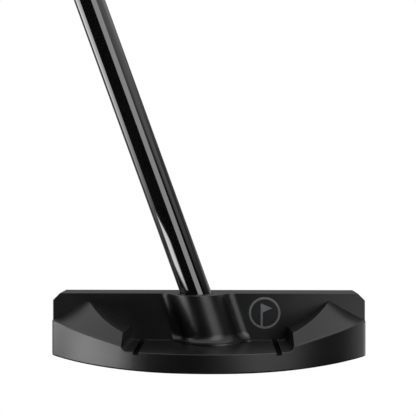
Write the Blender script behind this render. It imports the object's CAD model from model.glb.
"""A centre-shafted golf putter with a half-moon head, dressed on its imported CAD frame.

Pieces are modelled in millimetres on the frame's own axes (+X toe, +Y target, +Z up) and
shrunk to metres when they are finished, so every object ends at the origin, unturned.
"""

import logging
import math
from contextlib import contextmanager
from dataclasses import dataclass
from enum import Enum
from typing import Callable, Iterator, Sequence

import bmesh
import bpy
from mathutils import Matrix, Vector

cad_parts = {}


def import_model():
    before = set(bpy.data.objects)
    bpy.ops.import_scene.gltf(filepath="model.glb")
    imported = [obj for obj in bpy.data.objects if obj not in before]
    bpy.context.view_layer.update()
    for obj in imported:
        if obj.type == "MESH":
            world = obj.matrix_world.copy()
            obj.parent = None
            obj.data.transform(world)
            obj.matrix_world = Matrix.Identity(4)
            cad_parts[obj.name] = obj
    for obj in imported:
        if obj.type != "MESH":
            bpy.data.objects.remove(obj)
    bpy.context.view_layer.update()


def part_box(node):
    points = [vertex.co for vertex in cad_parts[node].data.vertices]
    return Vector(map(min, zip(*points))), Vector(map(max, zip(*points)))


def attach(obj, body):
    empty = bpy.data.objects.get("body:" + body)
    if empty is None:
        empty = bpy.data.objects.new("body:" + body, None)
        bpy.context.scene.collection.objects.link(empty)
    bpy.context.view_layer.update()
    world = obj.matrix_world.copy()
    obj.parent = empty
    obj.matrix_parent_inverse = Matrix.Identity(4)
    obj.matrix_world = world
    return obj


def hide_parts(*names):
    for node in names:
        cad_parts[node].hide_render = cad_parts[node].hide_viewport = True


LOG = logging.getLogger("putter")
MM = 0.001
BODY = "root"
EDGE_MASK = "edge_break"
SHAFT_LEAN = math.radians(20)
Colour = tuple[float, float, float, float]


class Cut(Enum):
    """What a boolean modifier does with its tool."""

    AWAY = "DIFFERENCE"
    JOIN = "UNION"


class Side(Enum):
    """Heel or toe half of the head, as the sign of X."""

    HEEL = -1
    TOE = 1


# ---------------------------------------------------------------- the modelling bench


def select_none() -> None:
    """Leaves edit mode and deselects every object."""
    if bpy.context.object and bpy.context.object.mode != "OBJECT":
        bpy.ops.object.mode_set(mode="OBJECT")
    bpy.ops.object.select_all(action="DESELECT")


def select_only(piece: bpy.types.Object) -> None:
    """Makes one object the only selected and the active one, in object mode.

    Args:
        piece: the object.
    """
    select_none()
    piece.select_set(True)
    bpy.context.view_layer.objects.active = piece


@contextmanager
def editing(piece: bpy.types.Object, select: str = "DESELECT") -> Iterator[bmesh.types.BMesh]:
    """Opens a piece in edit mode and gives its edit mesh.

    Args:
        piece: the mesh object.
        select: SELECT or DESELECT, what is selected at the start.

    Returns:
        The edit mesh, whose selection the caller may set in code.
    """
    select_only(piece)
    bpy.ops.object.mode_set(mode="EDIT")
    bpy.ops.mesh.select_mode(type="VERT")
    bpy.ops.mesh.select_all(action=select)
    grid = bmesh.from_edit_mesh(piece.data)
    yield grid
    bpy.ops.object.mode_set(mode="OBJECT")


def start(name: str) -> bpy.types.Object:
    """Names the primitive that was just added and settles its size and place in its mesh.

    Args:
        name: the piece's name.

    Returns:
        The object.
    """
    piece = bpy.context.object
    piece.name = name
    piece.data.name = name
    select_only(piece)
    bpy.ops.object.transform_apply(location=True, rotation=True, scale=True)
    return piece


def block(name: str, low: Sequence[float], high: Sequence[float]) -> bpy.types.Object:
    """Adds a rectangular block.

    Args:
        name: the piece's name.
        low: lowest corner in millimetres.
        high: highest corner in millimetres.

    Returns:
        The block.
    """
    select_none()
    middle = [(a + b) / 2 for a, b in zip(low, high)]
    bpy.ops.mesh.primitive_cube_add(size=1, location=middle)
    bpy.context.object.scale = [b - a for a, b in zip(low, high)]
    return start(name)


def rod(name: str, radius: float, bottom: float, top: float, sides: int = 96) -> bpy.types.Object:
    """Adds a round bar along Z.

    Args:
        name: the piece's name.
        radius: its radius in millimetres.
        bottom: height of its lower end.
        top: height of its upper end.
        sides: how many faces go round it.

    Returns:
        The bar.
    """
    select_none()
    bpy.ops.mesh.primitive_cylinder_add(
        vertices=sides, radius=radius, depth=top - bottom, location=(0, 0, (bottom + top) / 2))
    return start(name)


def plate(name: str, outline: Sequence[tuple[float, float]], height: float) -> bpy.types.Object:
    """Adds a flat n-gon in the XY plane with a given outline.

    Args:
        name: the piece's name.
        outline: its corners, anticlockwise, in millimetres.
        height: its Z.

    Returns:
        The one-faced plate, facing up.
    """
    select_none()
    bpy.ops.mesh.primitive_circle_add(vertices=len(outline), radius=1, fill_type="NGON")
    piece = start(name)
    for vertex, (x, y) in zip(piece.data.vertices, outline):
        vertex.co = (x, y, height)
    return piece


def extruded(name: str, outline: Sequence[tuple[float, float]], depth: float) -> bpy.types.Object:
    """Adds a prism from z = 0 up to a depth.

    Args:
        name: the piece's name.
        outline: corners of its section in X and Y.
        depth: how far it goes along +Z.

    Returns:
        The closed prism with its faces outwards.
    """
    piece = plate(name, outline, 0)
    with editing(piece, "SELECT"):
        bpy.ops.mesh.extrude_region_move(TRANSFORM_OT_translate={"value": (0, 0, depth)})
        bpy.ops.mesh.select_all(action="SELECT")
        bpy.ops.mesh.normals_make_consistent(inside=False)
    return piece


def put(piece: bpy.types.Object, place: Matrix) -> bpy.types.Object:
    """Turns and moves a piece on the bench, and settles the place in its mesh.

    Args:
        piece: the mesh object.
        place: where it goes.

    Returns:
        The piece.
    """
    piece.matrix_world = place
    select_only(piece)
    bpy.ops.object.transform_apply(location=True, rotation=True, scale=True)
    return piece


def boolean(piece: bpy.types.Object, tool: bpy.types.Object, how: Cut) -> bpy.types.Object:
    """Cuts or joins a piece with a tool, which is used up.

    Args:
        piece: the piece that is kept.
        tool: the solid that cuts it or joins it.
        how: what is done.

    Returns:
        The piece.
    """
    modifier = piece.modifiers.new(how.name.lower(), "BOOLEAN")
    modifier.operation = how.value
    modifier.solver = "EXACT"
    modifier.object = tool
    select_only(piece)
    bpy.ops.object.modifier_apply(modifier=modifier.name)
    bpy.data.objects.remove(tool, do_unlink=True)
    return piece


def bevel(piece: bpy.types.Object, wanted: Callable[[bmesh.types.BMEdge], bool],
          width: float, segments: int = 2) -> None:
    """Rounds the edges of a piece that a test picks.

    Args:
        piece: the mesh object.
        wanted: says of an edge whether it is rounded.
        width: width of the rounding in millimetres.
        segments: faces across it.
    """
    with editing(piece) as mesh:
        bpy.ops.mesh.select_mode(type="EDGE")
        for edge in mesh.edges:
            edge.select = bool(wanted(edge))
        mesh.select_flush_mode()
        bmesh.update_edit_mesh(piece.data)
        bpy.ops.mesh.bevel(offset_type="OFFSET", offset=width, segments=segments, profile=0.5,
                           clamp_overlap=False, affect="EDGES")


def slice_off(piece: bpy.types.Object, point: Sequence[float], outward: Sequence[float]) -> None:
    """Cuts away what lies beyond a plane and closes the cut.

    Args:
        piece: the mesh object.
        point: a point on the plane.
        outward: normal of the plane, towards what is cut away.
    """
    with editing(piece, "SELECT"):
        bpy.ops.mesh.bisect(plane_co=point, plane_no=outward, use_fill=True, clear_outer=True)


def cut_rings(piece: bpy.types.Object, heights: Sequence[float]) -> None:
    """Cuts rings of points round an upright piece.

    Args:
        piece: the mesh object.
        heights: where the rings go.
    """
    with editing(piece, "SELECT"):
        for height in heights:
            bpy.ops.mesh.select_all(action="SELECT")
            bpy.ops.mesh.bisect(plane_co=(0, 0, height), plane_no=(0, 0, 1))


def sharp(edge: bmesh.types.BMEdge, degrees: float = 25) -> bool:
    """Says whether an edge turns outwards by more than an angle."""
    return len(edge.link_faces) == 2 and edge.calc_face_angle_signed(0) > math.radians(degrees)


def round_ends(piece: bpy.types.Object, width: float, segments: int) -> None:
    """Rounds the steep outer edges of a piece, such as a bar's two ends."""
    bevel(piece, lambda edge: sharp(edge, 60), width, segments)


def mark_edge_breaks(piece: bpy.types.Object, turn: float = 8, largest: float = 3) -> None:
    """Marks the small faces that round an outer edge, where a finish wears.

    Args:
        piece: the mesh object, in millimetres.
        turn: how many degrees the edges round such a face turn outwards, at least.
        largest: the area such a face has at most.
    """
    mesh = bmesh.new()
    mesh.from_mesh(piece.data)
    mask = []
    for face in mesh.faces:
        around = sum(e.calc_length() for e in face.edges)
        turned = [e.calc_length() for e in face.edges if sharp(e, turn)]
        strip = len(turned) >= 2 and sum(turned) > 0.5 * around and face.calc_area() < largest
        mask.append(1.0 if strip else 0.0)
    mesh.free()
    layer = piece.data.attributes.new(EDGE_MASK, "FLOAT", "FACE")
    layer.data.foreach_set("value", mask)


def finish_piece(piece: bpy.types.Object, smooth_degrees: float = 32) -> bpy.types.Object:
    """Cleans, smooths and shrinks a bench piece to metres.

    Args:
        piece: the closed mesh, in millimetres.
        smooth_degrees: edges that turn more than this stay sharp.

    Returns:
        The piece, in metres, with its object at the origin.
    """
    with editing(piece, "SELECT"):
        bpy.ops.mesh.remove_doubles(threshold=0.004)
        bpy.ops.mesh.dissolve_degenerate(threshold=0.002)
        bpy.ops.mesh.select_all(action="SELECT")
        bpy.ops.mesh.normals_make_consistent(inside=False)
    mark_edge_breaks(piece)
    select_only(piece)
    bpy.ops.object.shade_smooth_by_angle(angle=math.radians(smooth_degrees))
    weigh = piece.modifiers.new("weigh", "WEIGHTED_NORMAL")
    weigh.keep_sharp = True
    bpy.ops.object.modifier_apply(modifier=weigh.name)
    piece.scale = (MM, MM, MM)
    bpy.ops.object.transform_apply(location=True, rotation=True, scale=True)
    return piece


def stand_for(piece: bpy.types.Object, node: str) -> None:
    """Makes a finished piece ride on the body and stand for its CAD node.

    Args:
        piece: the finished piece.
        node: the CAD node it replaces.
    """
    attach(piece, BODY)
    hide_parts(node)
    LOG.info("%s: %d faces", piece.name, len(piece.data.polygons))


# ---------------------------------------------------------------- finishes


def group_with(name: str, inputs: Sequence[tuple[str, float]],
               outputs: Sequence[str]) -> tuple[bpy.types.NodeTree, bpy.types.Node, bpy.types.Node]:
    """Starts a shader node group of plain values.

    Args:
        name: its name.
        inputs: name and default of each input.
        outputs: names of the outputs.

    Returns:
        The tree, its input node and its output node.
    """
    tree = bpy.data.node_groups.new(name, "ShaderNodeTree")
    for label, value in inputs:
        socket = tree.interface.new_socket(label, in_out="INPUT", socket_type="NodeSocketFloat")
        socket.default_value = value
    for label in outputs:
        tree.interface.new_socket(label, in_out="OUTPUT", socket_type="NodeSocketFloat")
    return tree, tree.nodes.new("NodeGroupInput"), tree.nodes.new("NodeGroupOutput")


def effect(tree: bpy.types.NodeTree, group: bpy.types.NodeTree,
           **values: float) -> bpy.types.NodeSocket:
    """Adds a shared effect to a material.

    Args:
        tree: the material's tree.
        group: the effect's node group.
        values: its inputs, by name.

    Returns:
        The socket of the effect's only output.
    """
    node = tree.nodes.new("ShaderNodeGroup")
    node.node_tree = group
    for label, value in values.items():
        node.inputs[label].default_value = value
    return node.outputs[0]


def link(tree: bpy.types.NodeTree, source: bpy.types.NodeSocket,
         target: bpy.types.NodeSocket) -> None:
    """Joins two sockets."""
    tree.links.new(source, target)


def calc(tree: bpy.types.NodeTree, operation: str, first: bpy.types.NodeSocket | float,
         second: bpy.types.NodeSocket | float = 0.0) -> bpy.types.NodeSocket:
    """Adds a math node.

    Args:
        tree: the node tree.
        operation: its operation, such as MULTIPLY.
        first: a socket or a number.
        second: a socket or a number.

    Returns:
        The result's socket.
    """
    node = tree.nodes.new("ShaderNodeMath")
    node.operation = operation
    for place, value in enumerate((first, second)):
        if isinstance(value, (int, float)):
            node.inputs[place].default_value = value
        else:
            link(tree, value, node.inputs[place])
    return node.outputs[0]


def step(tree: bpy.types.NodeTree, value: bpy.types.NodeSocket, low: float,
         high: float) -> bpy.types.NodeSocket:
    """Adds a smooth step.

    Args:
        tree: the node tree.
        value: the value's socket.
        low: where the step is still 0.
        high: where it has become 1, which may be below the other.

    Returns:
        The step's socket.
    """
    node = tree.nodes.new("ShaderNodeMapRange")
    node.interpolation_type = "SMOOTHSTEP"
    node.inputs["From Min"].default_value = low
    node.inputs["From Max"].default_value = high
    link(tree, value, node.inputs["Value"])
    return node.outputs["Result"]


def noise(tree: bpy.types.NodeTree, scale: bpy.types.NodeSocket,
          detail: float) -> bpy.types.NodeSocket:
    """Adds a noise texture on Object coordinates.

    Args:
        tree: the node tree.
        scale: how many grains to a metre.
        detail: octaves.

    Returns:
        The noise value's socket, about 0.5 on average.
    """
    place = tree.nodes.new("ShaderNodeTexCoord")
    texture = tree.nodes.new("ShaderNodeTexNoise")
    texture.inputs["Detail"].default_value = detail
    link(tree, scale, texture.inputs["Scale"])
    link(tree, place.outputs["Object"], texture.inputs["Vector"])
    return texture.outputs["Fac"]


class SharedEffects:
    """Node groups that several finishes use: grain, handling marks and worn edges."""

    def __init__(self) -> None:
        """Builds the three groups."""
        self.grain = self._grain()
        self.handling = self._handling()
        self.wear = self._wear()

    @staticmethod
    def _grain() -> bpy.types.NodeTree:
        """A fine even grain, as of bead blasting: Height goes into a Bump node.

        Returns:
            The group.
        """
        tree, source, sink = group_with("fine_grain", [("Scale", 2500.0)], ["Height"])
        fine = noise(tree, source.outputs["Scale"], 3.0)
        coarse = noise(tree, calc(tree, "MULTIPLY", source.outputs["Scale"], 0.27), 1.0)
        mixed = calc(tree, "ADD", calc(tree, "MULTIPLY", fine, 0.7),
                     calc(tree, "MULTIPLY", coarse, 0.3))
        link(tree, mixed, sink.inputs["Height"])
        return tree

    @staticmethod
    def _handling() -> bpy.types.NodeTree:
        """Soft patches left by hands and cloths: Tone runs between the two given values.

        Returns:
            The group.
        """
        tree, source, sink = group_with(
            "handling_marks", [("Scale", 60.0), ("Low", 0.4), ("High", 0.5)], ["Tone"])
        patches = noise(tree, source.outputs["Scale"], 4.0)
        ranged = tree.nodes.new("ShaderNodeMapRange")
        ranged.inputs["From Min"].default_value = 0.35
        ranged.inputs["From Max"].default_value = 0.65
        link(tree, patches, ranged.inputs["Value"])
        link(tree, source.outputs["Low"], ranged.inputs["To Min"])
        link(tree, source.outputs["High"], ranged.inputs["To Max"])
        link(tree, ranged.outputs["Result"], sink.inputs["Tone"])
        return tree

    @staticmethod
    def _wear() -> bpy.types.NodeTree:
        """Worn outer edges: Mask is the edge mask broken up by noise.

        Returns:
            The group.
        """
        tree, source, sink = group_with(
            "worn_edges", [("Scale", 300.0), ("Amount", 0.5)], ["Mask"])
        mask = tree.nodes.new("ShaderNodeAttribute")
        mask.attribute_name = EDGE_MASK
        patches = noise(tree, source.outputs["Scale"], 3.0)
        broken = calc(tree, "MULTIPLY", mask.outputs["Fac"], patches)
        link(tree, calc(tree, "MULTIPLY", broken, source.outputs["Amount"]), sink.inputs["Mask"])
        return tree


@dataclass(frozen=True)
class Finish:
    """A surface finish: a Principled shader with grain, handling marks and worn edges."""

    name: str
    colour: Colour
    worn: Colour = (0.2, 0.2, 0.2, 1)
    metallic: float = 0.0
    roughness: tuple[float, float] = (0.4, 0.5)
    grain_scale: float = 2500.0
    grain_depth: float = 0.05
    wear: float = 0.0
    coat: float = 0.0
    coat_roughness: float = 0.03
    specular: float = 0.5
    pattern: Callable[[bpy.types.NodeTree], bpy.types.NodeSocket] | None = None
    pattern_depth: float = 0.0

    def build(self, effects: SharedEffects) -> bpy.types.Material:
        """Makes the material.

        Args:
            effects: the shared node groups.

        Returns:
            The material.
        """
        material = bpy.data.materials.new(self.name)
        material.use_nodes = True
        tree = material.node_tree
        shader = tree.nodes["Principled BSDF"]
        shader.inputs["Metallic"].default_value = self.metallic
        shader.inputs["Coat Weight"].default_value = self.coat
        shader.inputs["Coat Roughness"].default_value = self.coat_roughness
        shader.inputs["Specular IOR Level"].default_value = self.specular
        low, high = self.roughness
        marks = effect(tree, effects.handling, Low=low, High=high)
        link(tree, self._colour(tree, effects), shader.inputs["Base Color"])
        link(tree, marks, shader.inputs["Roughness"])
        link(tree, self._relief(tree, effects), shader.inputs["Normal"])
        return material

    def _colour(self, tree: bpy.types.NodeTree, effects: SharedEffects) -> bpy.types.NodeSocket:
        """Mottles the base colour a little and wears it along the edges.

        Args:
            tree: the material's tree.
            effects: the shared node groups.

        Returns:
            The colour's socket.
        """
        wear = effect(tree, effects.wear, Amount=self.wear)
        mottle = effect(tree, effects.handling, Scale=110, Low=0.86, High=1.14)
        tint = tree.nodes.new("ShaderNodeMix")
        tint.data_type = "RGBA"
        tint.blend_type = "MULTIPLY"
        tint.inputs["Factor"].default_value = 1
        tint.inputs["A"].default_value = self.colour
        link(tree, mottle, tint.inputs["B"])
        worn = tree.nodes.new("ShaderNodeMix")
        worn.data_type = "RGBA"
        worn.inputs["B"].default_value = self.worn
        link(tree, wear, worn.inputs["Factor"])
        link(tree, tint.outputs["Result"], worn.inputs["A"])
        return worn.outputs["Result"]

    def _relief(self, tree: bpy.types.NodeTree, effects: SharedEffects) -> bpy.types.NodeSocket:
        """Adds the grain, and a pattern on top of it where the finish has one.

        Args:
            tree: the material's tree.
            effects: the shared node groups.

        Returns:
            The normal's socket.
        """
        bump = tree.nodes.new("ShaderNodeBump")
        bump.inputs["Distance"].default_value = self.grain_depth * MM
        link(tree, effect(tree, effects.grain, Scale=self.grain_scale), bump.inputs["Height"])
        last = bump
        if self.pattern:
            last = tree.nodes.new("ShaderNodeBump")
            last.inputs["Distance"].default_value = self.pattern_depth * MM
            link(tree, self.pattern(tree), last.inputs["Height"])
            link(tree, bump.outputs["Normal"], last.inputs["Normal"])
        return last.outputs["Normal"]


def coordinates(tree: bpy.types.NodeTree, kind: str = "Object") -> list[bpy.types.NodeSocket]:
    """Adds texture coordinates, split into their parts.

    Args:
        tree: the node tree.
        kind: which output of the Texture Coordinate node.

    Returns:
        The sockets of X, Y and Z.
    """
    place = tree.nodes.new("ShaderNodeTexCoord")
    parts = tree.nodes.new("ShaderNodeSeparateXYZ")
    link(tree, place.outputs[kind], parts.inputs["Vector"])
    return list(parts.outputs)


def distance(tree: bpy.types.NodeTree, first: bpy.types.NodeSocket,
             second: bpy.types.NodeSocket) -> bpy.types.NodeSocket:
    """Adds the length of the long side over two offsets at right angles."""
    squares = (calc(tree, "POWER", value, 2) for value in (first, second))
    return calc(tree, "SQRT", calc(tree, "ADD", *squares))


ARC_CENTRE, ARC_PITCH = 0.075, 0.0009
RING_PITCH = 0.00035
WEIGHT_X, WEIGHT_Y = 36.0, 6.5


def milled_arcs(tree: bpy.types.NodeTree) -> bpy.types.NodeSocket:
    """Fine crossing arcs that a fly cutter leaves on the striking face.

    Args:
        tree: the material's tree.

    Returns:
        The height's socket.
    """
    x, _, z = coordinates(tree)
    arcs = []
    for centre in (-ARC_CENTRE, ARC_CENTRE):
        away = distance(tree, calc(tree, "SUBTRACT", x, centre), z)
        arcs.append(calc(tree, "SINE", calc(tree, "MULTIPLY", away, math.tau / ARC_PITCH)))
    return calc(tree, "MULTIPLY", calc(tree, "ADD", arcs[0], arcs[1]), 0.5)


def turned_rings(tree: bpy.types.NodeTree) -> bpy.types.NodeSocket:
    """Concentric tool marks on the outer face of a sole weight.

    Args:
        tree: the material's tree.

    Returns:
        The height's socket.
    """
    x, y, _ = coordinates(tree)
    across = calc(tree, "SUBTRACT", calc(tree, "ABSOLUTE", x), WEIGHT_X * MM)
    along = calc(tree, "SUBTRACT", y, WEIGHT_Y * MM)
    away = distance(tree, across, along)
    return calc(tree, "SINE", calc(tree, "MULTIPLY", away, math.tau / RING_PITCH))


def rubber_weave(tree: bpy.types.NodeTree) -> bpy.types.NodeSocket:
    """A small moulded basket pattern that follows the grip's own UV map.

    Args:
        tree: the material's tree.

    Returns:
        The height's socket.
    """
    layout = tree.nodes.new("ShaderNodeUVMap")
    layout.uv_map = "grip"
    parts = tree.nodes.new("ShaderNodeSeparateXYZ")
    link(tree, layout.outputs["UV"], parts.inputs["Vector"])
    waves = [calc(tree, "SINE", calc(tree, "MULTIPLY", parts.outputs[axis], math.tau))
             for axis in ("X", "Y")]
    return calc(tree, "MULTIPLY", waves[0], waves[1])


STEEL_BLACK = (0.0016, 0.0016, 0.0017, 1)
FINISHES = {
    "head": Finish("satin_black_steel", STEEL_BLACK, worn=(0.02, 0.02, 0.021, 1),
                   roughness=(0.31, 0.36), grain_scale=3200, grain_depth=0.010, wear=0.25),
    "face": Finish("milled_black_face", STEEL_BLACK, roughness=(0.36, 0.44),
                   grain_scale=3200, grain_depth=0.006, pattern=milled_arcs,
                   pattern_depth=0.035),
    "recess": Finish("unworn_black_recess", (0.0005, 0.0005, 0.0006, 1), roughness=(0.6, 0.7),
                     grain_scale=3200, grain_depth=0.01, specular=0.05),
    "enamel": Finish("grey_enamel", (0.085, 0.090, 0.097, 1), roughness=(0.32, 0.42),
                     grain_scale=1800, grain_depth=0.008),
    "weight": Finish("turned_steel", (0.42, 0.42, 0.43, 1), worn=(0.6, 0.6, 0.6, 1), metallic=1,
                     roughness=(0.26, 0.34), grain_depth=0.004, wear=0.4,
                     pattern=turned_rings, pattern_depth=0.008),
    "shaft": Finish("gloss_black_shaft", (0.002, 0.002, 0.0023, 1), roughness=(0.08, 0.10),
                    grain_scale=900, grain_depth=0.0, coat=0.8, coat_roughness=0.02,
                    specular=0.4),
    "epoxy": Finish("cured_epoxy", (0.012, 0.012, 0.012, 1), roughness=(0.25, 0.35),
                    grain_scale=700, grain_depth=0.01),
    "cork": Finish("cork_plug", (0.30, 0.18, 0.09, 1), roughness=(0.8, 0.9), grain_scale=900,
                   grain_depth=0.15),
    "tape": Finish("paper_tape", (0.55, 0.51, 0.42, 1), roughness=(0.7, 0.85), grain_scale=1500,
                   grain_depth=0.05),
    "rubber": Finish("moulded_rubber", (0.016, 0.016, 0.017, 1), roughness=(0.55, 0.72),
                     grain_scale=1600, grain_depth=0.04, specular=0.4,
                     pattern=rubber_weave, pattern_depth=0.12),
    "cap": Finish("hard_rubber_cap", (0.018, 0.018, 0.019, 1), worn=(0.06, 0.06, 0.06, 1),
                  roughness=(0.42, 0.55), grain_scale=1800, grain_depth=0.02, wear=0.6),
}


def dress(piece: bpy.types.Object, materials: Sequence[bpy.types.Material]) -> None:
    """Gives a piece its materials, the first one everywhere.

    Args:
        piece: the finished piece.
        materials: its materials, in order.
    """
    piece.data.materials.clear()
    for material in materials:
        piece.data.materials.append(material)
    for face in piece.data.polygons:
        face.material_index = 0


# ---------------------------------------------------------------- head


def spread(first: float, last: float, steps: int) -> list[float]:
    """Evenly spaced values from first to last, last left out."""
    return [first + (last - first) * i / steps for i in range(steps)]


ROUND_OVER = ((0.5, 0.134), (0.866, 0.5), (1.0, 1.0))


class Stretch(Enum):
    """The stretches of the flange's cross-section, from the middle of the head outwards."""

    FLOOR = "floor"
    FILLET = "fillet"
    LIP = "lip"
    WING = "wing"


@dataclass
class Flange:
    """The half-moon behind the blade: outer wall, two bevelled wings and the sunk floor.

    A point is given by x from the middle of the head and by s, its distance behind the
    blade's back face, both in millimetres.
    """

    half: float
    depth: float
    end_depth: float = 2.2
    corner: float = 4.0
    floor_rear: float = 6.0
    floor_climb: float = 0.35
    cavity_front: float = 26.2
    cavity_rear: float = 27.0
    cavity_fillet: float = 1.7
    wall_draft: float = 0.03
    crest_x: float = 40.0
    crest_z: float = 19.55
    bevel_end_z: float = 12.7
    fall_end: float = 0.53
    fall_cavity: float = 1.04
    end_ease: float = 0.4
    end_lift: float = 0.5
    shelf_z: float = 11.35
    shelf_radius: float = 42.0
    edge: float = 0.18
    rim_edge: float = 0.4
    back_fillet: float = 0.15
    blend: float = 0.12
    under: float = 3.0
    tongue: tuple[tuple[float, float], ...] = ((0.985, -2.0), (0.9997, -0.03))

    def __post_init__(self) -> None:
        """Works out the arcs of the outline and of the shelf."""
        belly = self.depth - self.end_depth
        self.radius = (self.half ** 2 + belly ** 2) / (2 * belly)
        self.corner_x = self.half - self.corner
        self.corner_s = self.depth - self.radius + math.sqrt(
            (self.radius - self.corner) ** 2 - self.corner_x ** 2)
        self.join_x = self.corner_x * self.radius / (self.radius - self.corner)
        run, climb = self.crest_x - self.cavity_rear, self.crest_z - self.shelf_z
        chord = math.hypot(run, climb)
        lift = math.sqrt(self.shelf_radius ** 2 - chord ** 2 / 4)
        self.shelf_cx = (self.crest_x + self.cavity_rear) / 2 - lift * climb / chord
        self.shelf_cz = (self.crest_z + self.shelf_z) / 2 + lift * run / chord

    def rim(self, x: float) -> tuple[float, Vector]:
        """Where the outline lies behind the back face, and its outward normal there.

        Args:
            x: distance from the middle, positive.

        Returns:
            The outline's s, and the normal as (x, s).
        """
        if x > self.join_x:
            s = self.corner_s + math.sqrt(max(0.0, self.corner ** 2 - (x - self.corner_x) ** 2))
            return s, Vector(((x - self.corner_x) / self.corner, (s - self.corner_s) / self.corner))
        rise = math.sqrt(self.radius ** 2 - x ** 2)
        return self.depth - self.radius + rise, Vector((x, rise)) / self.radius

    def wall_x(self, s: float) -> float:
        """Where the cavity's upright wall stands."""
        return self.cavity_front + (self.cavity_rear - self.cavity_front) * s / self.depth

    def bevel_z(self, x: float, s: float) -> float:
        """Height of the outer bevel.

        Args:
            x: distance from the middle, positive.
            s: distance behind the back face.

        Returns:
            The height in millimetres.
        """
        slope = (self.crest_z - self.bevel_end_z) / (self.half - self.crest_x)
        share = (x - self.cavity_rear) / (self.half - self.cavity_rear)
        fall = self.fall_cavity + (self.fall_end - self.fall_cavity) * share
        run_out = share ** 6 * (self.end_lift + self.end_ease * s)
        return self.bevel_end_z + slope * (self.half - x) - fall * s + run_out

    def shelf(self, x: float) -> float:
        """Height of the hollow shelf, which is level from front to rear."""
        reach = min(abs(x - self.shelf_cx), self.shelf_radius * 0.95)
        return self.shelf_cz - math.sqrt(self.shelf_radius ** 2 - reach ** 2)

    def ridge(self, x: float) -> float:
        """How far behind the back face the bevel has come down to the shelf."""
        fall = self.bevel_z(x, 0) - self.bevel_z(x, 1)
        return max(0.0, (self.bevel_z(x, 0) - self.shelf(x)) / fall)

    def wing_z(self, x: float, s: float) -> float:
        """Height of a wing's top: the lower of bevel and shelf, blended over a narrow crest.

        Args:
            x: distance from the middle, positive.
            s: distance behind the back face.

        Returns:
            The height in millimetres.
        """
        a, b = self.bevel_z(x, s), self.shelf(x)
        near = max(self.blend - abs(a - b), 0.0) / self.blend
        return min(a, b) - near ** 2 * self.blend / 4

    def floor_z(self, s: float) -> float:
        """Height of the sunk floor."""
        return self.floor_rear + self.floor_climb * (1 - s / self.depth)

    def fillet_lift(self, s: float) -> float:
        """Rise of the small fillet against the blade's back face.

        Args:
            s: distance behind the back face.

        Returns:
            The rise in millimetres.
        """
        if s >= self.back_fillet:
            return 0.0
        r = self.back_fillet
        return r - math.sqrt(max(0.0, r * r - (r - max(s, 0.0)) ** 2))

    def rows(self, length: float, ridge: float) -> list[float]:
        """Distances behind the back face of one column's points, crowded where it curves.

        Args:
            length: the column's whole length.
            ridge: where it crosses the crest.

        Returns:
            The distances, from 0 to the length.
        """
        near = min(self.back_fillet, 0.25 * length)
        zone = min(0.45, 0.1 * length)
        at = min(max(ridge, near + 1.3 * zone), length - 1.3 * zone)
        return [
            *(near * share for share in (0, 0.06, 0.2, 0.42, 0.7)),
            *spread(near, at - zone, 9),
            *spread(at - zone, at + zone, 8),
            *spread(at + zone, length, 14), length]

    def columns(self) -> list[tuple[Stretch, float]]:
        """Kinds and values of the columns from the middle of the head out to its end.

        Returns:
            The stretch of each column and its place in that stretch.
        """
        corner = (1.0, 0.9988, 0.995, 0.987, 0.974, 0.955, 0.93, 0.9)
        wing = [*spread(0, 0.40, 30), *spread(0.40, 0.9, 44), *reversed(corner)]
        turn = [math.radians(a) for a in (90, 78, 64, 50, 36, 22, 8)]
        return [
            *((Stretch.FLOOR, share) for share in spread(0, 1, 22)),
            *((Stretch.FILLET, angle) for angle in turn),
            *((Stretch.LIP, share) for share in (0.0, 0.3, 1.0)),
            *((Stretch.WING, share) for share in wing[1:])]

    def point(self, kind: Stretch, value: float, row: int) -> Vector:
        """One point of the top surface, on the positive side.

        Args:
            kind: which stretch of the section the column belongs to.
            value: its place in that stretch.
            row: the row's number, counted from the front.

        Returns:
            The point as (x, s, z).
        """
        length = self.depth
        for _ in range(8):
            x_rim = self._x(kind, value, length)
            length, normal = self.rim(x_rim)
        edge = self.edge
        if kind is Stretch.WING:
            edge += (self.rim_edge - edge) * min(1.0, (x_rim - self.wall_x(length)) / 3)
        inset = length - edge * normal.y
        ridge_x = max(x_rim, self.wall_x(length) + self.edge)
        ridge = min(self.ridge(ridge_x), inset)
        steps = self.rows(inset, ridge)
        s = steps[min(row, len(steps) - 1)]
        x = self._x(kind, value, s * length / inset) - edge * normal.x * s / inset
        z = self._z(kind, value, x, s)
        if kind is not Stretch.WING:
            z += self.fillet_lift(s)
        turned = row - (len(steps) - 1)
        if turned > 0:
            out, down = ROUND_OVER[turned - 1]
            s += edge * normal.y * out
            x += edge * normal.x * out
            z -= edge * down
        return Vector((x, s, z))

    def _x(self, kind: Stretch, value: float, s: float) -> float:
        """A column's x at a distance behind the back face.

        Args:
            kind: which stretch of the section the column belongs to.
            value: its place in that stretch.
            s: distance behind the back face.

        Returns:
            The x in millimetres.
        """
        wall = self.wall_x(s)
        if kind is Stretch.WING:
            inner = wall + self.edge
            return inner + (self.half - inner) * value
        if kind is Stretch.LIP:
            return wall + self.edge * value
        if kind is Stretch.FLOOR:
            return (wall - self.cavity_fillet) * value
        return self._foot(value, s)[0]

    def _z(self, kind: Stretch, value: float, x: float, s: float) -> float:
        """A column's height.

        Args:
            kind: which stretch of the section the column belongs to.
            value: its place in that stretch.
            x: its distance from the middle.
            s: distance behind the back face.

        Returns:
            The height in millimetres.
        """
        if kind is Stretch.WING:
            return self.wing_z(x, s)
        if kind is Stretch.LIP:
            drop = 1 - math.sqrt(max(0.0, 1 - (1 - value) ** 2))
            return self.wing_z(self.wall_x(s) + self.edge * value, s) - self.edge * drop
        if kind is Stretch.FLOOR:
            return self.floor_z(s)
        return self._foot(value, s)[1]

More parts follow.
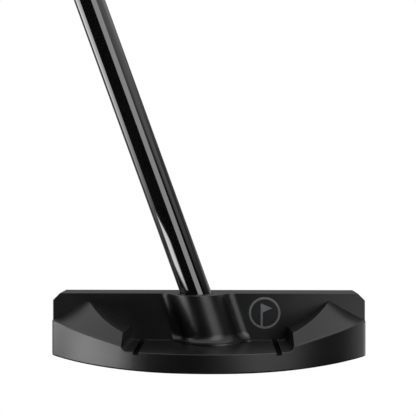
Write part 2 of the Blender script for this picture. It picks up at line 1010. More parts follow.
    def _foot(self, value: float, s: float) -> tuple[float, float]:
        """A point of the rounded foot of the cavity's wall.

        Args:
            value: its angle, 90 degrees where it meets the floor.
            s: its distance behind the back face.

        Returns:
            Its x and its height.
        """
        wall, bottom, radius = self.wall_x(s), self.floor_z(s), self.cavity_fillet
        top = self.wing_z(wall + self.edge, s) - self.edge
        first = math.asin(min(0.95, max(0.0, (bottom + radius - top) / radius)))
        angle = first + (math.pi / 2 - first) * value / (math.pi / 2)
        z = bottom + radius * (1 - math.sin(angle))
        return wall - radius + radius * math.cos(angle) - self.wall_draft * max(0.0, top - z), z

    def build(self, back_y: float) -> bpy.types.Object:
        """Models the flange as a closed solid that runs a little into the blade.

        Args:
            back_y: Y of the blade's back face.

        Returns:
            The solid, in millimetres.
        """
        half_columns = self.columns()
        columns = [(-1, *c) for c in reversed(half_columns[1:])] + [(1, *c) for c in half_columns]
        rows = len(self.rows(self.depth, self.depth / 2)) + len(ROUND_OVER)
        select_none()
        bpy.ops.mesh.primitive_grid_add(
            x_subdivisions=len(columns) - 1, y_subdivisions=rows, size=2)
        piece = start("flange")
        for vertex in piece.data.vertices:
            i = round((vertex.co.x + 1) / 2 * (len(columns) - 1))
            j = round((1 - vertex.co.y) / 2 * rows)
            side, kind, value = columns[i]
            x, s, z = self.point(kind, value, max(0, j - 1))
            if j < 2:
                share, s = self.tongue[j]
                x *= share
            vertex.co = (side * x, back_y - s, z)
        with editing(piece, "SELECT"):
            bpy.ops.mesh.extrude_region_move(TRANSFORM_OT_translate={"value": (0, 0, -60)})
            bpy.ops.transform.resize(value=(1, 1, 0), center_override=(0, 0, -self.under - 0.5))
            bpy.ops.mesh.select_all(action="SELECT")
            bpy.ops.mesh.remove_doubles(threshold=0.001)
            bpy.ops.mesh.normals_make_consistent(inside=False)
        return piece


@dataclass
class Boss:
    """The leaning hosel boss on the back face, hollow-filleted to it and flared at its foot."""

    top: float
    back_y: float
    radius: float = 8.8
    fillet: float = 4.5
    set_in: float = 0.8
    lean: float = math.radians(18.3)
    top_x: float = -3.96
    flare: float = 2.0
    flare_height: float = 2.8
    foot_z: float = 2.5
    ledge_z: float = 6.62
    ledge_edge: float = 0.03
    root: float = 5.5

    def section(self, grow: float) -> list[tuple[float, float]]:
        """Horizontal section about the boss's own centre, grown outwards.

        Args:
            grow: how far the outline is moved outwards.

        Returns:
            Its corners as (x, y), y towards the target, anticlockwise.
        """
        hollow, belly = self.fillet - grow, self.radius + grow
        reach = math.sqrt((self.radius + self.fillet) ** 2 - (self.fillet + self.set_in) ** 2)
        turn = math.atan2(self.fillet + self.set_in, reach)
        arcs = (
            (-reach, self.fillet, hollow, -math.pi / 2, -turn, 14),
            (0.0, -self.set_in, belly, math.pi - turn, turn, 40),
            (reach, self.fillet, hollow, math.pi + turn, 1.5 * math.pi, 14))
        points = [(-reach, -self.root)]
        for u, v, radius, first, last, steps in arcs:
            points += [(u + radius * math.cos(a), v + radius * math.sin(a))
                       for a in (first + (last - first) * i / steps for i in range(steps + 1))]
        points.append((reach, -self.root))
        stretch = 1 / math.cos(self.lean)
        return [(-u * stretch, -v) for u, v in points]

    def build(self) -> bpy.types.Object:
        """Models the boss from below the floor to above the topline.

        Returns:
            The solid, in millimetres.
        """
        edge, steps = self.ledge_edge, 12
        levels = [(self.foot_z, self.flare), (self.ledge_z - 0.08, self.flare),
                  (self.ledge_z, self.flare - edge)]
        for i in range(1, steps + 1):
            angle = math.pi / 2 * i / steps
            levels.append((self.ledge_z + self.flare_height * (1 - math.cos(angle)),
                           (self.flare - 2 * edge) * (1 - math.sin(angle))))
        levels.append((self.top + 3, 0.0))
        ring = len(self.section(0))
        piece = plate("boss", self.section(0), levels[0][0])
        with editing(piece, "SELECT"):
            for (low, _), (high, _) in zip(levels, levels[1:]):
                bpy.ops.mesh.extrude_region_move(
                    TRANSFORM_OT_translate={"value": (0, 0, high - low)})
            bpy.ops.mesh.select_all(action="SELECT")
            bpy.ops.mesh.normals_make_consistent(inside=False)
        layers: dict[int, list[bpy.types.MeshVertex]] = {}
        heights = [z for z, _ in levels]
        for vertex in piece.data.vertices:
            layer = min(range(len(heights)), key=lambda k: abs(heights[k] - vertex.co.z))
            layers.setdefault(layer, []).append(vertex)
        base = self.section(0)
        for layer, vertices in layers.items():
            height, grow = levels[layer]
            grown = self.section(grow)
            centre = self.top_x + (self.top - height) * math.tan(self.lean)
            for vertex in vertices:
                k = min(range(ring), key=lambda m: (base[m][0] - vertex.co.x) ** 2
                        + (base[m][1] - vertex.co.y) ** 2)
                vertex.co.x = grown[k][0] + centre
                vertex.co.y = grown[k][1] + self.back_y
        return piece


@dataclass
class Emblem:
    """The generic mark: a ring with a flag on its pole."""

    x: float = 18.7
    z: float = 15.5
    radius: float = 4.9
    stroke: float = 0.7
    pole_share: float = -0.2
    flag_share: float = 0.62
    reach_share: float = 0.72

    def build(self, name: str, grow: float, front: float, rear: float) -> bpy.types.Object:
        """Models the mark as one solid.

        Args:
            name: the piece's name.
            grow: how far each stroke is widened on each side.
            front: its lowest Y.
            rear: its highest Y.

        Returns:
            The solid, in millimetres.
        """
        half = self.stroke / 2 + grow
        depth = rear - front
        piece = rod(name, self.radius + half, 0, depth, 128)
        boolean(piece, rod("hole", self.radius - half, -1, depth + 1, 128), Cut.AWAY)
        pole_x, top = self.pole_share * self.radius, self.flag_share * self.radius
        boolean(piece, block("pole", (pole_x - half, -self.radius, 0),
                             (pole_x + half, top + grow, depth)), Cut.JOIN)
        flag = [(pole_x, top - self.flag_share * self.radius - grow),
                (pole_x + self.reach_share * self.radius + 2 * grow,
                 top - self.flag_share * self.radius / 2),
                (pole_x, top + grow)]
        boolean(piece, extruded("flag", flag, depth), Cut.JOIN)
        upright = Matrix.Translation((self.x, rear, self.z)) @ Matrix.Rotation(math.pi / 2, 4, "X")
        return put(piece, upright)


@dataclass
class SoleWeight:
    """A round screw-in weight, let into the cambered sole."""

    radius: float = 7.0
    thickness: float = 4.5
    offset: float = WEIGHT_X
    y: float = WEIGHT_Y
    inset: float = 0.2
    clearance: float = 0.15
    seat: float = 0.3
    socket: float = 5.0
    socket_depth: float = 2.4
    ring: tuple[float, float] = (4.6, 5.2)
    ring_depth: float = 0.25
    mouth: float = 0.96

    def place(self, side: Side, sole: "Sole") -> Matrix:
        """Where a weight drawn about +Z, its outer face at z = 0, goes.

        Args:
            side: heel or toe.
            sole: the camber it is let into.

        Returns:
            Its place.
        """
        tilt = sole.tilt(self.offset)
        turn = Matrix.Rotation(-side.value * tilt, 4, "Y")
        return Matrix.Translation((side.value * self.offset, self.y, sole.rise(self.offset))) @ turn

    def pocket(self, side: Side, sole: "Sole") -> bpy.types.Object:
        """The cutter for its pocket, with a small lead-in at the mouth.

        Args:
            side: heel or toe.
            sole: the camber it is let into.

        Returns:
            The cutter, in millimetres.
        """
        depth = self.inset + self.thickness + self.seat
        cutter = rod("pocket", self.radius + self.clearance, 0.35, depth)
        mouth = rod("mouth", self.radius + self.clearance + 0.3, -1.0, 0.3)
        with editing(mouth) as mesh:
            for vertex in mesh.verts:
                vertex.select = vertex.co.z > 0
            bpy.ops.transform.resize(value=(self.mouth, self.mouth, 1), center_override=(0, 0, 0))
        with editing(cutter) as mesh:
            for vertex in mesh.verts:
                vertex.select = vertex.co.z < 1
            bpy.ops.transform.translate(value=(0, 0, -0.3))
        boolean(cutter, mouth, Cut.JOIN)
        return put(cutter, self.place(side, sole))

    def build(self, side: Side, sole: "Sole") -> bpy.types.Object:
        """Models one weight.

        Args:
            side: heel or toe.
            sole: the camber it is let into.

        Returns:
            The weight in metres.
        """
        top = self.inset + self.thickness
        piece = rod(f"weight_{side.name.lower()}", self.radius, self.inset, top, 128)
        round_ends(piece, 0.35, 3)
        inner, outer = self.ring
        ring = rod("ring", outer, -1, self.inset + self.ring_depth)
        boolean(ring, rod("core", inner, -2, 2), Cut.AWAY)
        boolean(piece, ring, Cut.AWAY)
        across = self.socket / math.sqrt(3)
        boolean(piece, rod("socket", across, -1, self.inset + self.socket_depth, 6), Cut.AWAY)
        bevel(piece, lambda e: sharp(e, 40) and all(
            math.hypot(v.co.x, v.co.y) < across + 0.1 and v.co.z < self.inset + 0.1
            for v in e.verts), 0.2, 2)
        return finish_piece(put(piece, self.place(side, sole)))


@dataclass
class Sole:
    """The sole: flat in the middle, cambered towards heel and toe."""

    half: float
    flat: float = 9.0
    end_rise: float = 1.6

    def __post_init__(self) -> None:
        """Works out the camber's radius."""
        run = self.half - self.flat
        self.radius = (run ** 2 + self.end_rise ** 2) / (2 * self.end_rise)

    def tilt(self, x: float) -> float:
        """Slope of the sole at x, in radians."""
        return math.asin((abs(x) - self.flat) / self.radius)

    def rise(self, x: float) -> float:
        """Height of the sole at x."""
        return self.radius * (1 - math.cos(self.tilt(x))) if abs(x) > self.flat else 0.0

    def cutter(self, reach: float) -> bpy.types.Object:
        """A block whose top is the sole's surface.

        Args:
            reach: half its length along Y.

        Returns:
            The block, in millimetres.
        """
        out, heel = self.half + 2, spread(-self.half, -self.flat, 28)
        xs = [-out, *heel, -self.flat, self.flat, *(-x for x in reversed(heel)), out]
        outline = [(-out, -9.0), (out, -9.0), *((x, self.rise(x)) for x in reversed(xs))]
        upright = Matrix.Translation((0, reach, 0)) @ Matrix.Rotation(math.pi / 2, 4, "X")
        return put(extruded("sole_cutter", outline, 2 * reach), upright)


class HeadFinish(Enum):
    """The head's finishes, as the places of their materials."""

    SATIN = 0
    MILLED = 1
    RECESS = 2


@dataclass
class Head:
    """The milled head: blade, flange and boss in one piece, with its mark and sole weights."""

    blade_thickness: float = 11.0
    flange_depth: float = 23.9
    loft: float = math.radians(3)
    chamfer: tuple[float, float] = (2.8, 2.4)
    edge: float = 0.22
    face_edge: float = 1.2
    sole_edge: float = 0.6
    groove_x: float = 22.0
    groove_width: float = 1.7
    groove_depth: float = 0.8
    bore_radius: float = 5.3
    bore_depth: float = 18.0
    shaft_lean: float = SHAFT_LEAN
    shaft_top_x: float = -4.2
    mark_depth: float = 0.4
    mark_fill: float = 0.3
    mark_gap: float = 0.05
    glue_gap: float = 0.3

    def __post_init__(self) -> None:
        """Reads the head's overall size from the frame."""
        low, high = (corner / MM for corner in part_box("head_body"))
        self.half, self.top, self.rear = high.x, high.z, low.y
        self.flange = Flange(half=self.half, depth=self.flange_depth)
        self.back_y = self.rear + self.flange.depth
        self.sole = Sole(self.half)
        self.boss = Boss(self.top, self.back_y)
        self.emblem = Emblem()
        self.weight = SoleWeight()

    def face_y(self, z: float) -> float:
        """Y of the striking face at a height."""
        return self.back_y + self.blade_thickness - (z - self.top / 2) * math.tan(self.loft)

    def build_blade(self) -> bpy.types.Object:
        """Models the blade with its boss, cut flat on top, chamfered and edge-broken.

        Returns:
            The blade, in millimetres.
        """
        low, high = -self.flange.under, self.top + 2
        blade = block("head", (-self.half, self.back_y, low),
                      (self.half, self.back_y + self.blade_thickness, high))
        for vertex in blade.data.vertices:
            if vertex.co.y > self.back_y + 1:
                vertex.co.y = self.face_y(vertex.co.z)
        boolean(blade, self.boss.build(), Cut.JOIN)
        slice_off(blade, (0, 0, self.top), (0, 0, 1))
        width, height = self.chamfer
        for side in Side:
            slice_off(blade, (side.value * self.half, 0, self.top - height),
                      (side.value * height, 0, width))

        def outer(edge: bmesh.types.BMEdge) -> bool:
            """Picks the upper and upright outer edges, but not the boss's sides.

            Args:
                edge: an edge of the blade.

            Returns:
                Whether it is broken.
            """
            top = all(v.co.z > self.top - 0.01 for v in edge.verts)
            end = all(abs(v.co.x) > self.half - width - 0.01 for v in edge.verts)
            front = all(v.co.y > self.back_y + 5 for v in edge.verts)
            return sharp(edge, 20) and (top or end or front)

        bevel(blade, outer, self.edge, 3)
        return blade

    def build(self) -> bpy.types.Object:
        """Models the whole head.

        Returns:
            The head in metres.
        """
        head = self.build_blade()
        boolean(head, self.flange.build(self.back_y), Cut.JOIN)
        boolean(head, self.sole.cutter(60), Cut.AWAY)

        front = self.back_y + 9

        def round_sole(edge: bmesh.types.BMEdge) -> bool:
            """The edge that runs round the sole."""
            low = all(v.co.z < self.sole.rise(v.co.x) + 0.02 for v in edge.verts)
            return low and sharp(edge, 45)

        bevel(head, lambda e: round_sole(e) and all(v.co.y > front for v in e.verts),
              self.face_edge, 4)
        bevel(head, lambda e: round_sole(e) and all(v.co.y < front for v in e.verts),
              self.sole_edge, 3)
        floor, half_width = self.flange.floor_rear, self.groove_width / 2
        for side in Side:
            x = side.value * self.groove_x
            groove = block("groove", (x - half_width, self.rear - 1, floor - self.groove_depth),
                           (x + half_width, self.back_y, floor + 1))
            boolean(head, groove, Cut.AWAY)
            boolean(head, self.weight.pocket(side, self.sole), Cut.AWAY)
        boolean(head, self.bore(), Cut.AWAY)
        recess = self.emblem.build("recess", self.mark_gap, self.back_y - 1,
                                   self.back_y + self.mark_depth)
        boolean(head, recess, Cut.AWAY)
        return finish_piece(head)

    def finish_of(self, face: bpy.types.MeshPolygon) -> HeadFinish:
        """Which finish a face of the head takes.

        Args:
            face: a face of the finished head, in metres.

        Returns:
            Milled on the striking face, recess in the sight grooves, satin elsewhere.
        """
        if face.normal.y > 0.9 and face.area > 1e-5:
            return HeadFinish.MILLED
        x, y, z = (value / MM for value in face.center)
        floor, slack = self.flange.floor_rear, 0.05
        bottom = floor - self.groove_depth
        across = abs(abs(x) - self.groove_x) < self.groove_width / 2 + slack
        along = self.rear - 1 < y < self.back_y + slack and face.normal.y > -0.9
        upright = abs(face.normal.x) > 0.9 and z < floor + self.flange.floor_climb
        if across and along and z > bottom - slack and (upright or z < bottom + 2 * slack):
            return HeadFinish.RECESS
        return HeadFinish.SATIN

    def shaft_place(self) -> Matrix:
        """Where a piece drawn about +Z from the ground goes on the leaning shaft axis.

        Returns:
            The place.
        """
        low, high = (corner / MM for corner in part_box("shaft"))
        ground_x = self.shaft_top_x + self.top * math.tan(self.shaft_lean)
        return Matrix.Translation((ground_x, (low.y + high.y) / 2, 0)) @ Matrix.Rotation(
            -self.shaft_lean, 4, "Y")

    def bore(self) -> bpy.types.Object:
        """The cutter for the shaft's bore.

        Returns:
            The cutter, in millimetres.
        """
        top = self.top / math.cos(self.shaft_lean)
        cutter = rod("bore", self.bore_radius, top - self.bore_depth, top + 12, 128)
        return put(cutter, self.shaft_place())

    def build_mark(self) -> bpy.types.Object:
        """Models the enamel that fills the mark."""
        rear = self.back_y + self.mark_depth - self.mark_gap
        return finish_piece(self.emblem.build("mark_enamel", 0, rear - self.mark_fill, rear))

    def glue_top(self) -> float:
        """How far up the shaft axis the adhesive reaches: just short of the topline."""
        slant = self.bore_radius * math.tan(self.shaft_lean)
        return self.top / math.cos(self.shaft_lean) - slant - self.glue_gap

    def tip(self) -> float:
        """Where the shaft's tip stands on its axis: just clear of the bore's bottom."""
        return self.top / math.cos(self.shaft_lean) - self.bore_depth + self.glue_gap


# ---------------------------------------------------------------- shaft and grip


CLUB_LENGTH, GRIP_LENGTH, CAP_THICKNESS, CAP_GAP = 864.0, 262.0, 4.0, 0.05
GRIP_END = CLUB_LENGTH - CAP_THICKNESS - CAP_GAP
GRIP_START = GRIP_END - GRIP_LENGTH


@dataclass
class Shaft:
    """The straight tapered tube, with its adhesive, tip plug and the tape under the grip."""

    lean: Matrix
    tip: float
    end: float
    tip_radius: float = 4.95
    butt_radius: float = 7.6
    wall: float = 0.6
    taper: tuple[float, float] = (330.0, 570.0)
    glue: tuple[float, float] = (5.0, 5.25)
    plug_radius: float = 4.30
    plug_length: float = 12.0
    tape: tuple[float, float] = (7.65, 7.95)
    tape_inset: float = 2.0

    def radius_at(self, along: float) -> float:
        """Outer radius at a distance along the axis."""
        share = min(1.0, max(0.0, (along - self.taper[0]) / (self.taper[1] - self.taper[0])))
        return self.tip_radius + (self.butt_radius - self.tip_radius) * share

    def _drawn(self, name: str, inset: float, ends: tuple[float, float], sides: int,
               stations: Sequence[float]) -> bpy.types.Object:
        """Draws a bar out to the tube's taper.

        Args:
            name: the piece's name.
            inset: how far its skin lies inside the tube's.
            ends: where it begins and ends along the axis.
            sides: how many faces go round it.
            stations: where it is cut into lengths first.

        Returns:
            The tapered bar, in millimetres.
        """
        bar = rod(name, self.tip_radius - inset, *ends, sides)
        cut_rings(bar, stations)
        for vertex in bar.data.vertices:
            scale = (self.radius_at(vertex.co.z) - inset) / (self.tip_radius - inset)
            vertex.co.x *= scale
            vertex.co.y *= scale
        return bar

    def build(self) -> bpy.types.Object:
        """Models the tube: a drawn bar, bored to the same taper.

        Returns:
            The tube in metres.
        """
        past = 5.0
        tube = self._drawn("shaft_tube", 0.0, (self.tip, self.end), 160,
                           (*self.taper, self.end - 40))
        bore = self._drawn("bore", self.wall, (self.tip - past, self.end + past), 96, self.taper)
        boolean(tube, bore, Cut.AWAY)
        round_ends(tube, 0.12, 2)
        return finish_piece(put(tube, self.lean))

    def _sleeve(self, name: str, radii: tuple[float, float], ends: tuple[float, float],
                edge: float) -> bpy.types.Object:
        """Models a thin sleeve on the shaft's axis.

        Args:
            name: the piece's name.
            radii: its inner and outer radius.
            ends: where it begins and ends along the axis.
            edge: width of its edge breaks.

        Returns:
            The sleeve in metres.
        """
        inner, outer = radii
        bottom, top = ends
        sleeve = rod(name, outer, bottom, top)
        boolean(sleeve, rod("core", inner, bottom - 1, top + 1), Cut.AWAY)
        round_ends(sleeve, edge, 1)
        return finish_piece(put(sleeve, self.lean))

    def build_adhesive(self, top: float) -> bpy.types.Object:
        """Models the cured adhesive in the bore, up to a distance along the axis."""
        return self._sleeve("adhesive", self.glue, (self.tip, top), 0.05)

    def build_tape(self, bottom: float, top: float) -> bpy.types.Object:
        """Models the double-sided tape under the grip."""
        ends = (bottom + self.tape_inset, top - self.tape_inset)
        return self._sleeve("tape", self.tape, ends, 0.06)

    def build_plug(self) -> bpy.types.Object:
        """Models the plug that keeps adhesive out of the tube.

        Returns:
            The plug in metres.
        """
        plug = rod("plug", self.plug_radius, self.tip, self.tip + self.plug_length, 64)
        round_ends(plug, 0.4, 3)
        return finish_piece(put(plug, self.lean))


@dataclass
class Grip:
    """The pistol-shaped rubber grip with its flat front, and its cap."""

    lean: Matrix
    bottom: float
    top: float
    low_radius: float = 10.4
    high_radius: float = 12.6
    flat: float = 9.6
    flat_zone: tuple[float, float] = (0.0, 0.3)
    palm: float = 3.4
    palm_zone: tuple[float, float] = (0.35, 0.95)
    bore: float = 8.0
    lip: float = 1.2
    sides: int = 120
    cap_step: float = 0.3
    spigot_radius: float = 6.9
    spigot_length: float = 8.0
    vent_radius: float = 0.9
    grooves: int = 3
    groove_first: float = 5.0
    groove_pitch: float = 4.0
    groove_depth: float = 0.35
    groove_half: float = 0.8
    weave: int = 44
    weave_pitch: float = 1.7

    @staticmethod
    def ease(share: float, first: float, last: float) -> float:
        """Smooth step of a share between two values."""
        t = min(1.0, max(0.0, (share - first) / (last - first)))
        return t * t * (3 - 2 * t)

    def radius_at(self, angle: float, share: float) -> float:
        """Radius of the grip's skin.

        Args:
            angle: turn about the axis, 0 at the flat front.
            share: place along the grip, 0 at its lower end.

        Returns:
            The radius in millimetres.
        """
        toward = math.cos(angle)
        swell = self.palm * self.ease(share, *self.palm_zone)
        radius = self.low_radius + (self.high_radius - self.low_radius) * share
        radius += swell * max(0.0, -toward) ** 2
        if toward > 0.02:
            flatness = self.ease(share, *self.flat_zone)
            front = self.low_radius + (self.flat - self.low_radius) * flatness
            radius = min(radius, front / toward)
        return radius

    def ring_groove(self, along: float) -> float:
        """Depth of the decorative ring grooves near the two ends.

        Args:
            along: distance along the axis.

        Returns:
            The depth in millimetres.
        """
        depth = 0.0
        for i in range(self.grooves):
            inset = self.groove_first + self.groove_pitch * i
            for middle in (self.bottom + inset, self.top - inset):
                away = abs(along - middle) / self.groove_half
                depth = max(depth, self.groove_depth * max(0.0, 1 - away ** 2))
        return depth

    def stations(self) -> list[float]:
        """Distances along the axis of the grip's rings of points.

        Returns:
            The distances, in order.
        """
        fine = {round(end + sign * (1.2 + 0.4 * i), 3)
                for i in range(34) for end, sign in ((self.bottom, 1), (self.top, -1))}
        coarse = spread(self.bottom + 16, self.top - 16, 44)
        return sorted(fine | set(coarse))

    def build(self) -> bpy.types.Object:
        """Models the grip: a cylinder cut into rings, shaped, rounded at the ends and bored.

        Returns:
            The grip in metres.
        """
        grip = rod("grip_sleeve", self.low_radius, self.bottom, self.top, self.sides)
        cut_rings(grip, self.stations())
        length = self.top - self.bottom
        for vertex in grip.data.vertices:
            share = (vertex.co.z - self.bottom) / length
            angle = math.atan2(vertex.co.y, vertex.co.x)
            radius = self.radius_at(angle, share) - self.ring_groove(vertex.co.z)
            scale = radius / self.low_radius
            vertex.co.x *= scale
            vertex.co.y *= scale
        round_ends(grip, self.lip * 0.9, 4)
        boolean(grip, rod("bore", self.bore, self.bottom - 1, self.top + 1, 96), Cut.AWAY)
        layout = grip.data.uv_layers.new(name="grip")
        for loop in grip.data.loops:
            co = grip.data.vertices[loop.vertex_index].co
            angle = math.atan2(co.y, -co.x) / math.tau
            up = (co.z - self.bottom) / self.weave_pitch
            layout.data[loop.index].uv = (angle * self.weave, up)
        for face in grip.data.polygons:
            angles = [layout.data[i].uv[0] for i in face.loop_indices]
            if max(angles) - min(angles) > self.weave / 2:
                for i in face.loop_indices:
                    if layout.data[i].uv[0] < 0:
                        layout.data[i].uv[0] += self.weave
        return finish_piece(put(grip, self.lean))

    def build_cap(self) -> bpy.types.Object:
        """Models the cap: a disc of the grip's own outline, rounded on top, with a spigot.

        Returns:
            The cap in metres.
        """
        bottom = self.top + CAP_GAP
        outline = []
        for i in range(self.sides):
            angle = math.tau * i / self.sides
            radius = self.radius_at(angle, 1.0) - self.cap_step
            outline.append((radius * math.cos(angle), radius * math.sin(angle)))
        cap = plate("cap", outline, 0)
        level, width = 0.0, 1.0
        profile = ((0.5, 1.0), (1.4, 1.0), (2.4, 0.995), (3.0, 0.975), (3.5, 0.94), (3.85, 0.89),
                   (4.0, 0.83), (4.0, 0.78), (3.85, 0.765), (3.55, 0.75), (3.4, 0.735), (3.4, 0.42),
                   (3.6, 0.40), (3.75, 0.37), (3.8, 0.33))
        with editing(cap, "SELECT"):
            for height, share in profile:
                bpy.ops.mesh.extrude_region_move(
                    TRANSFORM_OT_translate={"value": (0, 0, height - level)})
                bpy.ops.transform.resize(value=(share / width, share / width, 1),
                                         center_override=(0, 0, height))
                level, width = height, share
            bpy.ops.mesh.select_all(action="SELECT")
            bpy.ops.mesh.normals_make_consistent(inside=False)
        put(cap, Matrix.Translation((0, 0, bottom)))
        spigot = rod("spigot", self.spigot_radius, bottom - self.spigot_length, bottom + 1, 64)
        round_ends(spigot, 0.5, 2)
        boolean(cap, spigot, Cut.JOIN)
        boolean(cap, rod("vent", self.vent_radius, bottom - 20, bottom + 10, 24), Cut.AWAY)
        return finish_piece(put(cap, self.lean))


@dataclass(frozen=True)
class Card:
    """A soft light card that faces the club; angles in degrees, lengths in metres.

    Azimuth 0 is behind the camera, and positive to its right.
    """

    name: str
    azimuth: float
    width: float
    rise: float
    height: float
    strength: float
    distance: float = 0.9
    fade: float = 0.05
    soft: float = 0.05
    lean: float = SHAFT_LEAN
    middle: tuple[float, float, float] = (-0.018, 0.008, 0.06)

    def material(self) -> bpy.types.Material:
        """A glow that fades towards the card's lower edge and its two sides.

        Returns:
            The material.
        """
        material = bpy.data.materials.new(self.name)
        material.use_nodes = True
        tree = material.node_tree
        tree.nodes.clear()
        x, y, _ = coordinates(tree)
        glow_here = step(tree, y, -0.5, -0.5 + self.fade)
        for side in (-1, 1):
            edge = step(tree, calc(tree, "MULTIPLY", x, side), 0.5, 0.5 - self.soft)
            glow_here = calc(tree, "MULTIPLY", glow_here, edge)
        glow = tree.nodes.new("ShaderNodeEmission")
        link(tree, calc(tree, "MULTIPLY", glow_here, self.strength), glow.inputs["Strength"])
        out = tree.nodes.new("ShaderNodeOutputMaterial")
        link(tree, glow.outputs["Emission"], out.inputs["Surface"])
        return material

    def build(self) -> None:
        """Adds the card, unseen by the camera."""
        select_none()
        bpy.ops.mesh.primitive_plane_add(size=1)
        plane = bpy.context.object
        plane.name = self.name
        size = [2 * self.distance * math.tan(math.radians(angle / 2))
                for angle in (self.width, self.height)]
        stand = Matrix.Rotation(math.pi / 2, 4, "X") @ Matrix.Diagonal((*size, 1, 1))
        aim = (Matrix.Translation(self.middle) @ Matrix.Rotation(-self.lean, 4, "Y")
               @ Matrix.Rotation(math.radians(self.azimuth), 4, "Z")
               @ Matrix.Rotation(-math.radians(self.rise), 4, "X"))
        plane.matrix_world = aim @ Matrix.Translation((0, -self.distance, 0)) @ stand
        plane.data.materials.append(self.material())
        plane.visible_camera = False


CARDS = (
    Card("key_card", azimuth=-96, width=44, rise=17, height=45, strength=4.6, fade=0.55),
    Card("fill_card", azimuth=34, width=38, rise=12, height=47, strength=3.5),
    Card("edge_card", azimuth=86, width=34, rise=12, height=47, strength=0.9, fade=0.4),
    Card("low_fill_card", azimuth=38, width=46, rise=-26, height=22, strength=1.5, distance=0.2,
         fade=0.3, soft=0.35, lean=0),
    Card("low_card", azimuth=-63, width=46, rise=-30, height=13, strength=8.5, distance=0.16,
         fade=0.3, soft=0.3, lean=0),
)


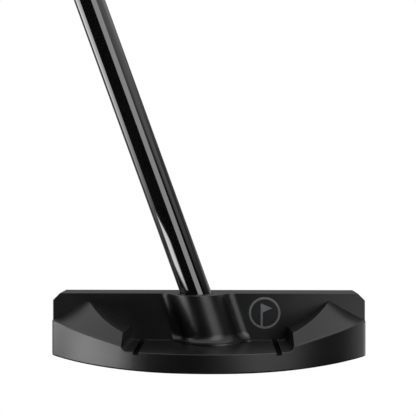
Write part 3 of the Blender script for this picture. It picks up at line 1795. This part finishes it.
@dataclass
class Studio:
    """Plain pale floor, soft light cards, plain surroundings and the camera."""

    behind: float = 0.16
    aside: float = 1.4
    above: float = 1.2
    dim: float = 0.01
    sensor: float = 36.0
    lens: float = 67.2404
    eye: tuple[float, float, float] = (4.0, -251.8, 50.4)
    yaw: float = math.radians(0.92)
    floor_size: float = 30.0
    floor_drop: float = 0.0002

    def camera(self) -> None:
        """Adds the camera, level, behind the head."""
        data = bpy.data.cameras.new("camera")
        data.sensor_width = self.sensor
        data.lens = self.lens
        data.clip_start = 0.01
        camera = bpy.data.objects.new("camera", data)
        camera.location = Vector(self.eye) * MM
        camera.rotation_euler = (math.pi / 2, 0, self.yaw)
        bpy.context.scene.collection.objects.link(camera)
        bpy.context.scene.camera = camera

    def floor(self) -> None:
        """Adds the pale floor, evenly white to the camera."""
        select_none()
        bpy.ops.mesh.primitive_plane_add(size=self.floor_size, location=(0, 0, -self.floor_drop))
        plane = bpy.context.object
        plane.name = "floor"
        material = bpy.data.materials.new("pale_floor")
        material.use_nodes = True
        tree = material.node_tree
        shader = tree.nodes["Principled BSDF"]
        shader.inputs["Base Color"].default_value = (0.8, 0.8, 0.8, 1)
        shader.inputs["Roughness"].default_value = 0.9
        shader.inputs["Specular IOR Level"].default_value = 0.1
        glow = tree.nodes.new("ShaderNodeEmission")
        glow.inputs["Strength"].default_value = 1.0
        self.show(tree, shader.outputs["BSDF"], glow.outputs["Emission"],
                  tree.nodes["Material Output"])
        plane.data.materials.append(material)
        plane.visible_glossy = False
        plane.visible_shadow = False

    @staticmethod
    def show(tree: bpy.types.NodeTree, lit: bpy.types.NodeSocket, seen: bpy.types.NodeSocket,
             out: bpy.types.Node) -> None:
        """Gives the camera another surface than the one that lights the club.

        Args:
            tree: the floor's or the world's tree.
            lit: what every other ray meets.
            seen: what the camera sees.
            out: the tree's output node.
        """
        path = tree.nodes.new("ShaderNodeLightPath")
        mix = tree.nodes.new("ShaderNodeMixShader")
        link(tree, path.outputs["Is Camera Ray"], mix.inputs["Fac"])
        link(tree, lit, mix.inputs[1])
        link(tree, seen, mix.inputs[2])
        link(tree, mix.outputs["Shader"], out.inputs["Surface"])

    def world(self) -> None:
        """White to the camera; to the club grey above and behind, lighter at the far right."""
        world = bpy.data.worlds.new("surroundings")
        bpy.context.scene.world = world
        world.use_nodes = True
        tree = world.node_tree
        x, y, z = coordinates(tree, "Generated")
        right = calc(tree, "MULTIPLY", step(tree, x, 0.35, 0.8), step(tree, z, 0.25, 0.0))
        back = calc(tree, "MULTIPLY", step(tree, y, 0.0, 0.15), step(tree, z, -0.5, -0.2))
        tone = calc(tree, "ADD", calc(tree, "MULTIPLY", right, self.aside), self.behind)
        roof = calc(tree, "MULTIPLY", step(tree, z, 0.3, 0.65), self.above)
        grey = calc(tree, "MAXIMUM", calc(tree, "MULTIPLY", back, tone), roof)
        lit = tree.nodes["Background"]
        lit.inputs["Color"].default_value = (1, 1, 1, 1)
        link(tree, calc(tree, "ADD", grey, self.dim), lit.inputs["Strength"])
        seen = tree.nodes.new("ShaderNodeBackground")
        seen.inputs["Color"].default_value = (1, 1, 1, 1)
        self.show(tree, lit.outputs["Background"], seen.outputs["Background"],
                  tree.nodes["World Output"])

    def build(self) -> None:
        """Sets up the whole studio."""
        self.camera()
        self.floor()
        self.world()
        for card in CARDS:
            card.build()
        bpy.context.scene.view_settings.view_transform = "Standard"


def main() -> None:
    """Loads the frame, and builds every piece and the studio."""
    logging.basicConfig(level=logging.INFO, format="%(message)s")
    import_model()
    effects = SharedEffects()
    materials = {key: finish.build(effects) for key, finish in FINISHES.items()}

    head = Head()
    lean = head.shaft_place()
    shaft = Shaft(lean, head.tip(), GRIP_END)
    grip = Grip(lean, GRIP_START, GRIP_END)
    pieces = [
        (head.build(), "head_body", "black_steel", ["head", "face", "recess"]),
        (head.build_mark(), "emblem_enamel", "enamel", ["enamel"]),
        (head.weight.build(Side.HEEL, head.sole), "sole_weight_heel", "weight_steel", ["weight"]),
        (head.weight.build(Side.TOE, head.sole), "sole_weight_toe", "weight_steel", ["weight"]),
        (shaft.build(), "shaft", "black_shaft", ["shaft"]),
        (shaft.build_adhesive(head.glue_top()), "hosel_adhesive", "epoxy", ["epoxy"]),
        (shaft.build_plug(), "tip_plug", "plug", ["cork"]),
        (shaft.build_tape(GRIP_START, GRIP_END), "grip_tape", "tape", ["tape"]),
        (grip.build(), "grip", "grip_rubber", ["rubber"]),
        (grip.build_cap(), "grip_cap", "cap_rubber", ["cap"]),
    ]
    for piece, node, slot, finishes in pieces:
        dress(piece, [materials[key] for key in finishes])
        if node == "head_body":
            for face in piece.data.polygons:
                face.material_index = head.finish_of(face).value
        stand_for(piece, node)

    Studio().build()
    bpy.context.view_layer.update()


if __name__ == "__main__":
    main()
